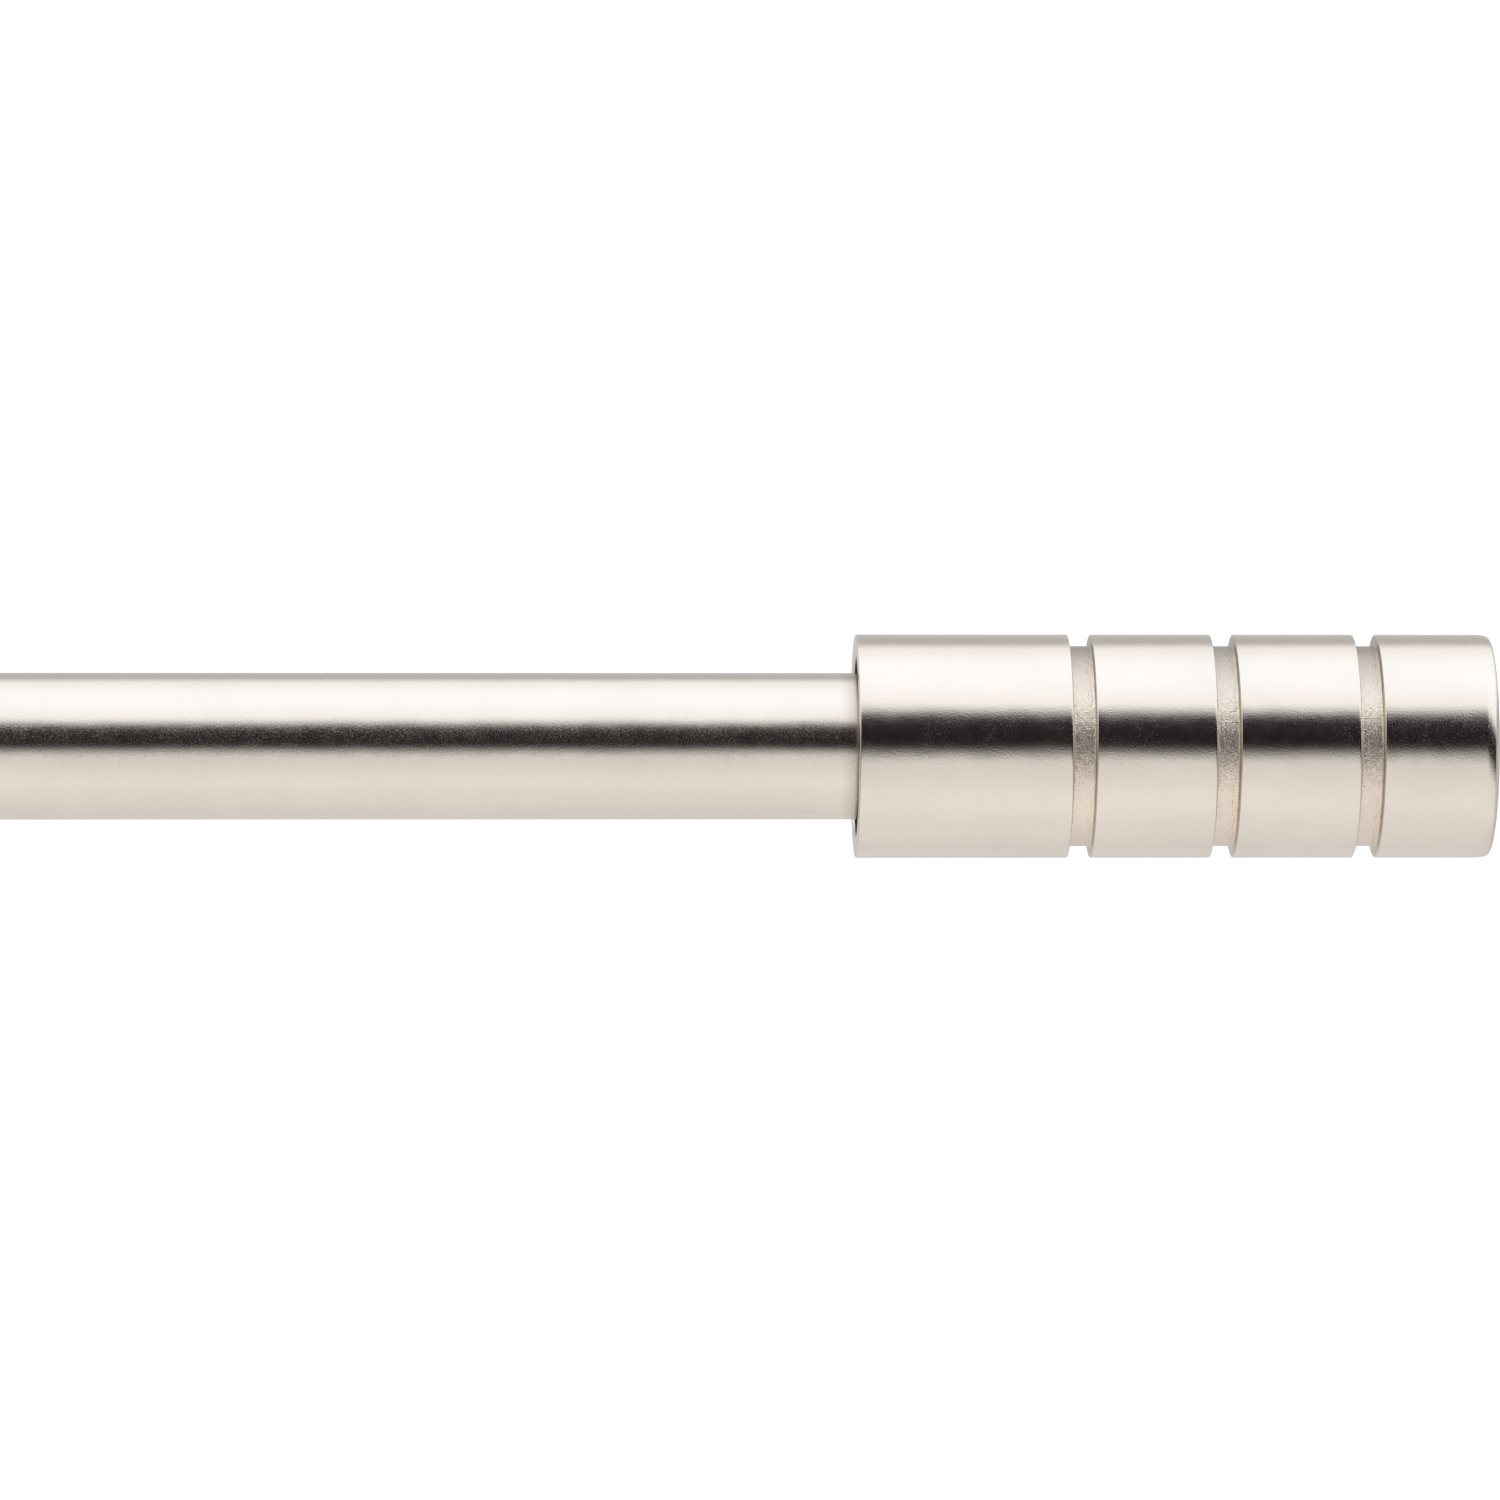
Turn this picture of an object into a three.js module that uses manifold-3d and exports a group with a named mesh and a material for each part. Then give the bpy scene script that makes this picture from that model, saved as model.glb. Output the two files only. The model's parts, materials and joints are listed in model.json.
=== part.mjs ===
// A telescopic curtain rod with two wall brackets and a grooved finial at each end.
//
// Frame, in millimetres: +X runs along the rod from the thick tube to the thin one, +Y points into the
// wall, +Z is up. The origin is the centre of the left wall plate's back face, on the wall. The rod's
// axis is level with it, ROD_PROJECTION in front of the wall.
//
// In the brackets, "out" is a distance from the wall, or from the rod's axis, towards the room, along -Y.

import * as THREE from "three";
import { mergeVertices } from "three/addons/utils/BufferGeometryUtils.js";
import Module from "manifold-3d";

// ---- driving dimensions ------------------------------------------------------------------------

const GAP = 0.3; // air between pieces that touch
const ROD_PROJECTION = 85; // wall to rod axis
const CUP_FROM_TUBE_END = 145; // bracket centre to the tube's finial end

const TUBE_LENGTH = 680; // each tube
const TUBE_WALL = 0.7;
const OUTER_TUBE_RADIUS = 9.5;
const INNER_TUBE_RADIUS = 8;
const EXPOSED_INNER_TUBE = 200; // thin tube outside the thick one
const MOUTH_ROLL = 4; // length of the thick tube's rolled-in mouth
const GUIDE_SPIGOT = 12;
const GUIDE_FLANGE = 6;

const FINIAL_RADIUS = 12.2;
const FINIAL_LENGTH = 69.3;
const FINIAL_BORE_RADIUS = 10; // slides over either tube
const FINIAL_END_WALL = 3.3;
const FINIAL_EDGE = 0.5; // chamfer at both ends
const SOCKET_DEPTH = 20; // tube inside the finial
const GROOVE_COUNT = 3;
const GROOVE_PITCH = 15.6;
const FIRST_GROOVE = 24.4; // mouth to the first groove's middle
const GROOVE_WIDTH = 2.5;
const GROOVE_DEPTH = 1.26;

const INSERT_BORE_RADIUS = 5.5;
const INSERT_WEB = 3;
const INSERT_BODY = 30.4; // the thick part, inside the finial
const INSERT_SPIGOT = 18; // the thin part, inside the tube
const INSERT_TAPER = 2;
const INSERT_TAPER_DEPTH = 0.6;
const SCREW_BOSS_RADIUS = 4.5; // inside the finial
const SCREW_BOSS_FLOOR = 3; // solid metal between the boss's hole and the end wall

const CUP_INNER_RADIUS = 10;
const CUP_WALL = 2.5;
const CUP_WIDTH = 14;
const CUP_BACK_HEIGHT = 12; // above the rod's axis
const CUP_FRONT_HEIGHT = 6;
const CUP_HEEL = 6.25; // where the squared lower back corner starts to round
const CUP_BOSS_RADIUS = 4.5; // carries the thumbscrew's thread
const CUP_BOSS_HEIGHT = 2.5;
const LINER_WALL = 1.4; // nylon liner that fits the thin tube to the cup
const LINER_FLANGE = 1;

const POST_RADIUS = 6;
const POST_COLLAR_RADIUS = 8;
const POST_COLLAR_LENGTH = 3;
const POST_COLLAR_EDGE = 1;
const POST_HOLE_DEPTH = 12;

const PLATE_RADIUS = 19;
const PLATE_DEPTH = 8;
const PLATE_FLOOR = 4; // thickness under the screw heads
const PLATE_RIM_WALL = 3;
const PLATE_HOLE_OFFSET = 11; // wall screws above and below the centre
const LOCK_GROOVE_DEPTH = 1.5; // round the plate's rim, where the grub screw bites
const LOCK_GROOVE_HALF_WIDTH = 2.5;
const LOCK_GROOVE_HALF_FLOOR = 1.6;

const ROSE_WALL = 3.2;
const ROSE_EDGE = 1.6;

const SCREW_RADIUS = 2; // every screw is 4 mm
const HEAD_RADIUS = 4;
const HEAD_HEIGHT = 2;
const HEAD_SINK = 0.1; // below the surface it is flush with
const PAN_HEAD_RADIUS = 3.8;
const PAN_HEAD_HEIGHT = 2.4;
const PAN_HEAD_CROWN = 1;
const SCREW_TIP_RADIUS = 1;
const BRACKET_SCREW_LENGTH = 13;
const WALL_SCREW_LENGTH = 38;
const WALL_SCREW_POINT = 6;
const WALL_SCREW_TIP_RADIUS = 0.2;
const PLUG_RADIUS = 3.5;
const PLUG_NOSE_RADIUS = 2.7;
const PLUG_NOSE = 4;
const PLUG_LENGTH = 30;
const PLUG_SET_BACK = 2.5; // the plug starts this far inside the wall
const GRUB_POINT_RADIUS = 1.2;

const KNOB_RADIUS = 5.5;
const KNOB_LENGTH = 6.5;
const KNOB_EDGE = 0.6;
const THUMB_SHANK_LENGTH = 7.2;
const PAD_RADIUS = 1.7;
const PAD_THICKNESS = 1.5;
const PAD_STEM_RADIUS = 0.8;
const PAD_STEM_LENGTH = 2;

const LARGE_ROUND = 32; // segments round a tube, finial or rose
const SMALL_ROUND = 16; // segments round a screw or pin
const ARC_SEGMENTS = 12; // in each arc of the cup

// ---- sizes and places worked out from them -----------------------------------------------------

const OUTER_TUBE_BORE = OUTER_TUBE_RADIUS - TUBE_WALL;
const INNER_TUBE_BORE = INNER_TUBE_RADIUS - TUBE_WALL;
const OUTER_TUBE_START = -CUP_FROM_TUBE_END;
const OUTER_TUBE_END = OUTER_TUBE_START + TUBE_LENGTH;
const INNER_TUBE_END = OUTER_TUBE_END + EXPOSED_INNER_TUBE;
const INNER_TUBE_START = INNER_TUBE_END - TUBE_LENGTH;
const LEFT_BRACKET_X = 0;
const RIGHT_BRACKET_X = INNER_TUBE_END - CUP_FROM_TUBE_END;

const INSERT_SHOULDER = SOCKET_DEPTH + GAP;
const INSERT_END = INSERT_SHOULDER + INSERT_BODY;
const FINIAL_BORE_END = FINIAL_LENGTH - FINIAL_END_WALL;

const HOLE_RADIUS = SCREW_RADIUS + GAP;
const SINK_RADIUS = HEAD_RADIUS + GAP;
const CUP_OUTER_RADIUS = CUP_INNER_RADIUS + CUP_WALL;
const ROSE_INNER_RADIUS = PLATE_RADIUS + GAP;
const ROSE_RADIUS = ROSE_INNER_RADIUS + ROSE_WALL;
const ROSE_INNER_DEPTH = PLATE_DEPTH + GAP;
const ROSE_FRONT = ROSE_INNER_DEPTH + ROSE_WALL;
const POST_BACK = ROSE_FRONT + GAP;
const POST_FRONT = ROD_PROJECTION - CUP_OUTER_RADIUS - GAP;

// ---- materials ---------------------------------------------------------------------------------

const SATIN_NICKEL = { color: 0xc9c1b8, roughness: 0.22, metalness: 1 };
const CAST_NICKEL = { color: 0xbdb5ab, roughness: 0.28, metalness: 1 };
const ZINC = { color: 0x9fa2a3, roughness: 0.42, metalness: 1 };
const WHITE_NYLON = { color: 0xe9e7e1, roughness: 0.5, metalness: 0 };
const GREY_NYLON = { color: 0x8f9294, roughness: 0.55, metalness: 0 };

// ---- solids ------------------------------------------------------------------------------------

const wasm = await Module();
wasm.setup();

// A three.js geometry as a manifold-3d solid.
function solidOf(geometry) {
  const bare = geometry.clone();
  bare.deleteAttribute("normal");
  bare.deleteAttribute("uv");
  const merged = mergeVertices(bare, 1e-3);
  return new wasm.Manifold(
    new wasm.Mesh({
      numProp: 3,
      vertProperties: new Float32Array(merged.attributes.position.array),
      triVerts: new Uint32Array(merged.index.array),
    }),
  );
}

// A manifold-3d solid as a three.js geometry.
function geometryOf(solid) {
  const mesh = solid.getMesh();
  return new THREE.BufferGeometry()
    .setAttribute("position", new THREE.BufferAttribute(mesh.vertProperties, 3))
    .setIndex(new THREE.BufferAttribute(mesh.triVerts, 1));
}

function cut(geometry, ...tools) {
  const whole = solidOf(geometry);
  return geometryOf(tools.reduce((rest, tool) => rest.subtract(solidOf(tool)), whole));
}

function join(...geometries) {
  const [first, ...others] = geometries.map(solidOf);
  return geometryOf(others.reduce((whole, next) => whole.add(next), first));
}

// Turns a profile of [along, radius] pairs round an axis. The pairs run up the outside and, unless they
// start and end on the axis, back down the inside to the first pair.
function turned(profile, segments) {
  const points = profile.map(([along, radius]) => new THREE.Vector2(radius, along));
  return new THREE.LatheGeometry(points, segments);
}

// A turned profile's "along" laid on +X, on -Y and on -Z.
const alongRod = (profile, segments = LARGE_ROUND) => turned(profile, segments).rotateZ(-Math.PI / 2);
const outward = (profile, segments = SMALL_ROUND) => turned(profile, segments).rotateX(Math.PI);
const downward = (profile, segments = SMALL_ROUND) => turned(profile, segments).rotateX(-Math.PI / 2);

// A straight round bar from one distance out to another.
const outwardBar = (radius, from, to) =>
  outward([
    [from, 0],
    [from, radius],
    [to, radius],
    [to, 0],
  ]);

// ---- the rod -----------------------------------------------------------------------------------

function outerTube() {
  const rolled = INNER_TUBE_RADIUS + GAP;
  return alongRod([
    [0, OUTER_TUBE_BORE],
    [0, OUTER_TUBE_RADIUS],
    [TUBE_LENGTH - MOUTH_ROLL / 2, OUTER_TUBE_RADIUS],
    [TUBE_LENGTH, rolled + TUBE_WALL],
    [TUBE_LENGTH, rolled],
    [TUBE_LENGTH - MOUTH_ROLL, OUTER_TUBE_BORE],
    [0, OUTER_TUBE_BORE],
  ]);
}

function innerTube() {
  return alongRod([
    [0, INNER_TUBE_BORE],
    [0, INNER_TUBE_RADIUS],
    [TUBE_LENGTH, INNER_TUBE_RADIUS],
    [TUBE_LENGTH, INNER_TUBE_BORE],
    [0, INNER_TUBE_BORE],
  ]);
}

// Nylon stop in the thin tube's buried end. It centres that tube and can't pass the thick tube's mouth.
function tubeGuide() {
  const spigot = INNER_TUBE_BORE - GAP;
  const flange = OUTER_TUBE_BORE - GAP;
  return alongRod([
    [-GUIDE_FLANGE, INSERT_BORE_RADIUS],
    [-GUIDE_FLANGE, flange],
    [-GAP, flange],
    [-GAP, spigot],
    [GUIDE_SPIGOT, spigot],
    [GUIDE_SPIGOT, INSERT_BORE_RADIUS],
    [-GUIDE_FLANGE, INSERT_BORE_RADIUS],
  ]);
}

// ---- the finials, with the mouth at 0 and the closed end at FINIAL_LENGTH ----------------------

function finialCap() {
  const outside = [
    [0, FINIAL_RADIUS - FINIAL_EDGE],
    [FINIAL_EDGE, FINIAL_RADIUS],
  ];
  for (let i = 0; i < GROOVE_COUNT; i++) {
    const start = FIRST_GROOVE + i * GROOVE_PITCH - GROOVE_WIDTH / 2;
    const end = start + GROOVE_WIDTH;
    const floor = FINIAL_RADIUS - GROOVE_DEPTH;
    outside.push([start, FINIAL_RADIUS], [start, floor], [end, floor], [end, FINIAL_RADIUS]);
  }
  outside.push([FINIAL_LENGTH - FINIAL_EDGE, FINIAL_RADIUS], [FINIAL_LENGTH, FINIAL_RADIUS - FINIAL_EDGE]);

  const screwHoleEnd = FINIAL_BORE_END - SCREW_BOSS_FLOOR;
  const inside = [
    [FINIAL_LENGTH, 0],
    [screwHoleEnd, 0],
    [screwHoleEnd, HOLE_RADIUS],
    [INSERT_END + GAP, HOLE_RADIUS],
    [INSERT_END + GAP, SCREW_BOSS_RADIUS],
    [FINIAL_BORE_END, SCREW_BOSS_RADIUS],
    [FINIAL_BORE_END, FINIAL_BORE_RADIUS],
    [0, FINIAL_BORE_RADIUS],
  ];
  return alongRod([...outside, ...inside, outside[0]]);
}

// Nylon insert, screwed into the finial. Its spigot pushes into the tube.
function finialInsert(tubeRadius) {
  const spigot = tubeRadius - TUBE_WALL - GAP;
  const body = FINIAL_BORE_RADIUS - GAP;
  const tip = SOCKET_DEPTH - INSERT_SPIGOT;
  return alongRod([
    [tip, INSERT_BORE_RADIUS],
    [tip, spigot - INSERT_TAPER_DEPTH],
    [tip + INSERT_TAPER, spigot],
    [INSERT_SHOULDER, spigot],
    [INSERT_SHOULDER, body],
    [INSERT_END, body],
    [INSERT_END, HOLE_RADIUS],
    [INSERT_END - INSERT_WEB, HOLE_RADIUS],
    [INSERT_END - INSERT_WEB, INSERT_BORE_RADIUS],
    [tip, INSERT_BORE_RADIUS],
  ]);
}

// Pan-head screw from inside the insert into the finial's boss.
function finialScrew() {
  const seat = INSERT_END - INSERT_WEB - GAP;
  const tip = FINIAL_BORE_END - SCREW_BOSS_FLOOR - 2 * GAP;
  return alongRod(
    [
      [seat - PAN_HEAD_HEIGHT, 0],
      [seat - PAN_HEAD_HEIGHT, PAN_HEAD_RADIUS - PAN_HEAD_CROWN],
      [seat - PAN_HEAD_HEIGHT + PAN_HEAD_CROWN, PAN_HEAD_RADIUS],
      [seat, PAN_HEAD_RADIUS],
      [seat, SCREW_RADIUS],
      [tip - SCREW_TIP_RADIUS, SCREW_RADIUS],
      [tip, SCREW_TIP_RADIUS],
      [tip, 0],
    ],
    SMALL_ROUND,
  );
}

// ---- the brackets' wall side, with the wall at 0 -----------------------------------------------

function wallPlate() {
  const groove = PLATE_DEPTH / 2;
  const disc = outward(
    [
      [0, 0],
      [0, PLATE_RADIUS],
      [groove - LOCK_GROOVE_HALF_WIDTH, PLATE_RADIUS],
      [groove - LOCK_GROOVE_HALF_FLOOR, PLATE_RADIUS - LOCK_GROOVE_DEPTH],
      [groove + LOCK_GROOVE_HALF_FLOOR, PLATE_RADIUS - LOCK_GROOVE_DEPTH],
      [groove + LOCK_GROOVE_HALF_WIDTH, PLATE_RADIUS],
      [PLATE_DEPTH, PLATE_RADIUS],
      [PLATE_DEPTH, PLATE_RADIUS - PLATE_RIM_WALL],
      [PLATE_FLOOR, PLATE_RADIUS - PLATE_RIM_WALL],
      [PLATE_FLOOR, 0],
    ],
    LARGE_ROUND,
  );
  const screwHole = outward([
    [-1, 0],
    [-1, HOLE_RADIUS],
    [PLATE_FLOOR - HEAD_HEIGHT, HOLE_RADIUS],
    [PLATE_FLOOR, SINK_RADIUS],
    [PLATE_FLOOR + 1, SINK_RADIUS],
    [PLATE_FLOOR + 1, 0],
  ]);
  const holes = [-1, 1].map((side) => screwHole.clone().translate(0, 0, side * PLATE_HOLE_OFFSET));
  return cut(disc, ...holes);
}

// Cup-shaped cover that the post stands on. It slips over the wall plate.
function rose() {
  const cover = outward(
    [
      [GAP, ROSE_INNER_RADIUS],
      [GAP, ROSE_RADIUS],
      [ROSE_FRONT - ROSE_EDGE, ROSE_RADIUS],
      [ROSE_FRONT - ROSE_EDGE * 0.3, ROSE_RADIUS - ROSE_EDGE * 0.3],
      [ROSE_FRONT, ROSE_RADIUS - ROSE_EDGE],
      [ROSE_FRONT, HOLE_RADIUS],
      [ROSE_INNER_DEPTH + HEAD_HEIGHT, HOLE_RADIUS],
      [ROSE_INNER_DEPTH, SINK_RADIUS],
      [ROSE_INNER_DEPTH, ROSE_INNER_RADIUS],
      [GAP, ROSE_INNER_RADIUS],
    ],
    LARGE_ROUND,
  );
  const grubHole = downward([
    [ROSE_INNER_RADIUS - 1, 0],
    [ROSE_INNER_RADIUS - 1, HOLE_RADIUS],
    [ROSE_RADIUS + 1, HOLE_RADIUS],
    [ROSE_RADIUS + 1, 0],
  ]).translate(0, -PLATE_DEPTH / 2, 0);
  return cut(cover, grubHole);
}

function post() {
  return outward([
    [POST_BACK + POST_HOLE_DEPTH, 0],
    [POST_BACK + POST_HOLE_DEPTH, HOLE_RADIUS],
    [POST_BACK, HOLE_RADIUS],
    [POST_BACK, POST_COLLAR_RADIUS],
    [POST_BACK + POST_COLLAR_LENGTH, POST_COLLAR_RADIUS],
    [POST_BACK + POST_COLLAR_LENGTH + POST_COLLAR_EDGE, POST_COLLAR_RADIUS - POST_COLLAR_EDGE],
    [POST_BACK + POST_COLLAR_LENGTH + POST_COLLAR_EDGE, POST_RADIUS],
    [POST_FRONT, POST_RADIUS],
    [POST_FRONT, HOLE_RADIUS],
    [POST_FRONT - POST_HOLE_DEPTH, HOLE_RADIUS],
    [POST_FRONT - POST_HOLE_DEPTH, 0],
  ]);
}

// Dog-point grub screw through the rose's lower rim into the wall plate's groove.
function grubScrew() {
  const tip = PLATE_RADIUS - LOCK_GROOVE_DEPTH + GAP;
  const head = ROSE_RADIUS - GAP;
  return downward([
    [tip, 0],
    [tip, GRUB_POINT_RADIUS],
    [ROSE_INNER_RADIUS, GRUB_POINT_RADIUS],
    [ROSE_INNER_RADIUS, SCREW_RADIUS],
    [head, SCREW_RADIUS],
    [head, 0],
  ]).translate(0, -PLATE_DEPTH / 2, 0);
}

// A countersunk screw: its head lies just below a surface that far out, and it points out or, where
// "outwards" is false, back to the wall.
function countersunk(surface, outwards, length, pointLength, tipRadius) {
  const sign = outwards ? 1 : -1;
  const shape = [
    [HEAD_SINK, 0],
    [HEAD_SINK, HEAD_RADIUS],
    [HEAD_SINK + HEAD_HEIGHT, SCREW_RADIUS],
    [length - pointLength, SCREW_RADIUS],
    [length, tipRadius],
    [length, 0],
  ];
  const profile = shape.map(([along, radius]) => [surface + sign * along, radius]);
  return outward(outwards ? profile : profile.reverse());
}

const bracketScrew = (surface, outwards) =>
  countersunk(surface, outwards, BRACKET_SCREW_LENGTH, SCREW_RADIUS - SCREW_TIP_RADIUS, SCREW_TIP_RADIUS);

const wallScrew = () =>
  countersunk(PLATE_FLOOR, false, WALL_SCREW_LENGTH, WALL_SCREW_POINT, WALL_SCREW_TIP_RADIUS);

function wallPlug() {
  const start = -PLUG_SET_BACK;
  const end = start - PLUG_LENGTH;
  return outward([
    [end, HOLE_RADIUS],
    [end, PLUG_NOSE_RADIUS],
    [end + PLUG_NOSE, PLUG_RADIUS],
    [start, PLUG_RADIUS],
    [start, HOLE_RADIUS],
    [end, HOLE_RADIUS],
  ]);
}

// ---- the brackets' rod side, with the rod's axis at 0 ------------------------------------------

// Extrudes an outline along the rod, centred on x = 0. The outline's x points to the room, its y up.
function acrossRod(outline, width) {
  const toRoom = new THREE.Vector3(0, -1, 0);
  const up = new THREE.Vector3(0, 0, 1);
  const alongX = new THREE.Vector3(-1, 0, 0);
  const options = { depth: width, bevelEnabled: false, curveSegments: ARC_SEGMENTS };
  return new THREE.ExtrudeGeometry(outline, options)
    .translate(0, 0, -width / 2)
    .applyMatrix4(new THREE.Matrix4().makeBasis(toRoom, up, alongX));
}

// J-shaped cradle, open at the top, with a boss for the thumbscrew in front.
function cup() {
  const outer = CUP_OUTER_RADIUS;
  const inner = CUP_INNER_RADIUS;
  const outline = new THREE.Shape();
  outline.moveTo(-inner, CUP_BACK_HEIGHT);
  outline.lineTo(-outer, CUP_BACK_HEIGHT);
  outline.lineTo(-outer, -CUP_HEEL);
  outline.absarc(-CUP_HEEL, -CUP_HEEL, outer - CUP_HEEL, Math.PI, 1.5 * Math.PI, false);
  outline.lineTo(0, -outer);
  outline.absarc(0, 0, outer, -Math.PI / 2, 0, false);
  outline.lineTo(outer, CUP_FRONT_HEIGHT);
  outline.lineTo(inner, CUP_FRONT_HEIGHT);
  outline.lineTo(inner, 0);
  outline.absarc(0, 0, inner, 0, -Math.PI, true);
  outline.closePath();

  const boss = outwardBar(CUP_BOSS_RADIUS, outer - CUP_WALL / 2, outer + CUP_BOSS_HEIGHT);
  const thumbHole = outwardBar(HOLE_RADIUS, inner - 1, outer + CUP_BOSS_HEIGHT + 1);
  const screwHole = outward([
    [-outer - 1, 0],
    [-outer - 1, HOLE_RADIUS],
    [-inner - HEAD_HEIGHT, HOLE_RADIUS],
    [-inner, SINK_RADIUS],
    [1 - inner, SINK_RADIUS],
    [1 - inner, 0],
  ]);
  return cut(join(acrossRod(outline, CUP_WIDTH), boss), thumbHole, screwHole);
}

// U-shaped nylon liner, with a flange outside each face of the cup.
function cupLiner() {
  const inner = INNER_TUBE_RADIUS + GAP;
  const channel = (outer) => {
    const outline = new THREE.Shape();
    outline.moveTo(-inner, CUP_FRONT_HEIGHT);
    outline.lineTo(-outer, CUP_FRONT_HEIGHT);
    outline.lineTo(-outer, 0);
    outline.absarc(0, 0, outer, Math.PI, 2 * Math.PI, false);
    outline.lineTo(outer, CUP_FRONT_HEIGHT);
    outline.lineTo(inner, CUP_FRONT_HEIGHT);
    outline.lineTo(inner, 0);
    outline.absarc(0, 0, inner, 0, -Math.PI, true);
    outline.closePath();
    return outline;
  };
  const body = acrossRod(channel(inner + LINER_WALL), CUP_WIDTH + 2 * (GAP + LINER_FLANGE));
  const flangePlace = (CUP_WIDTH + LINER_FLANGE) / 2 + GAP;
  const flanges = [-1, 1].map((side) =>
    acrossRod(channel(inner + 2 * LINER_WALL), LINER_FLANGE).translate(side * flangePlace, 0, 0),
  );
  const padHole = outwardBar(HOLE_RADIUS, inner - 1, inner + 2 * LINER_WALL);
  return cut(join(body, ...flanges), padHole);
}

// Knurled thumbscrew, for a tube of this radius.
function thumbscrew(tubeRadius) {
  const tip = tubeRadius + GAP + PAD_THICKNESS + GAP;
  const neck = tip + THUMB_SHANK_LENGTH;
  const end = neck + KNOB_LENGTH;
  const socket = PAD_STEM_RADIUS + GAP;
  return outward([
    [tip + PAD_STEM_LENGTH + GAP, 0],
    [tip + PAD_STEM_LENGTH + GAP, socket],
    [tip, socket],
    [tip, SCREW_RADIUS],
    [neck, SCREW_RADIUS],
    [neck, KNOB_RADIUS - KNOB_EDGE],
    [neck + KNOB_EDGE, KNOB_RADIUS],
    [end - KNOB_EDGE, KNOB_RADIUS],
    [end, KNOB_RADIUS - KNOB_EDGE],
    [end, 0],
  ]);
}

// Nylon pad that turns freely in the thumbscrew's tip.
function thumbscrewPad(tubeRadius) {
  const face = tubeRadius + GAP;
  const back = face + PAD_THICKNESS;
  return outward([
    [face, 0],
    [face, PAD_RADIUS],
    [back, PAD_RADIUS],
    [back, PAD_STEM_RADIUS],
    [back + PAD_STEM_LENGTH, PAD_STEM_RADIUS],
    [back + PAD_STEM_LENGTH, 0],
  ]);
}

// ---- assembly ----------------------------------------------------------------------------------

function piece(name, geometry, material) {
  const mesh = new THREE.Mesh(geometry, new THREE.MeshStandardMaterial(material));
  mesh.name = name;
  return mesh;
}

function groupAt(x, y, z, ...children) {
  const group = new THREE.Group();
  group.position.set(x, y, z);
  group.add(...children);
  return group;
}

const wallFixing = (name, z) =>
  groupAt(
    0,
    0,
    z,
    piece(`${name}_wall_screw`, wallScrew(), ZINC),
    piece(`${name}_wall_plug`, wallPlug(), GREY_NYLON),
  );

const bracketWallSide = (side, x) =>
  groupAt(
    x,
    0,
    0,
    piece(`${side}_wall_plate`, wallPlate(), ZINC),
    piece(`${side}_rose`, rose(), CAST_NICKEL),
    piece(`${side}_rose_screw`, bracketScrew(ROSE_INNER_DEPTH, true), ZINC),
    piece(`${side}_grub_screw`, grubScrew(), ZINC),
    piece(`${side}_post`, post(), SATIN_NICKEL),
    piece(`${side}_cup_screw`, bracketScrew(ROD_PROJECTION - CUP_INNER_RADIUS, false), ZINC),
    wallFixing(`${side}_upper`, PLATE_HOLE_OFFSET),
    wallFixing(`${side}_lower`, -PLATE_HOLE_OFFSET),
  );

const bracketRodSide = (side, x, tubeRadius) =>
  groupAt(
    x,
    0,
    0,
    piece(`${side}_cup`, cup(), CAST_NICKEL),
    piece(`${side}_thumbscrew`, thumbscrew(tubeRadius), SATIN_NICKEL),
    piece(`${side}_thumbscrew_pad`, thumbscrewPad(tubeRadius), WHITE_NYLON),
  );

const finial = (side, x, tubeRadius) =>
  groupAt(
    x,
    0,
    0,
    piece(`${side}_finial_cap`, finialCap(), SATIN_NICKEL),
    piece(`${side}_finial_insert`, finialInsert(tubeRadius), WHITE_NYLON),
    piece(`${side}_finial_screw`, finialScrew(), ZINC),
  );

const leftFinial = finial("left", OUTER_TUBE_START + SOCKET_DEPTH, OUTER_TUBE_RADIUS);
leftFinial.rotation.z = Math.PI; // its closed end points to the left

const rodLine = groupAt(
  0,
  -ROD_PROJECTION,
  0,
  bracketRodSide("left", LEFT_BRACKET_X, OUTER_TUBE_RADIUS),
  bracketRodSide("right", RIGHT_BRACKET_X, INNER_TUBE_RADIUS),
  groupAt(RIGHT_BRACKET_X, 0, 0, piece("right_cup_liner", cupLiner(), WHITE_NYLON)),
  groupAt(OUTER_TUBE_START, 0, 0, piece("outer_tube", outerTube(), SATIN_NICKEL)),
  groupAt(
    INNER_TUBE_START,
    0,
    0,
    piece("inner_tube", innerTube(), SATIN_NICKEL),
    piece("inner_tube_guide", tubeGuide(), WHITE_NYLON),
  ),
  leftFinial,
  finial("right", INNER_TUBE_END - SOCKET_DEPTH, INNER_TUBE_RADIUS),
);

const curtainRod = new THREE.Group();
curtainRod.add(
  bracketWallSide("left", LEFT_BRACKET_X),
  bracketWallSide("right", RIGHT_BRACKET_X),
  rodLine,
);

export default curtainRod;
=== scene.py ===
"""The looks of a telescopic curtain rod with two wall brackets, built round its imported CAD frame.

Every piece here is a finer version of one CAD node and takes its place. Lengths are in millimetres
until a mesh is made; Blender's own values are in metres. Along the rod is +X, "out" from the wall is -Y
and up is +Z.
"""

import json
import math

import bmesh
import bpy
from mathutils import Matrix, Vector


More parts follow.
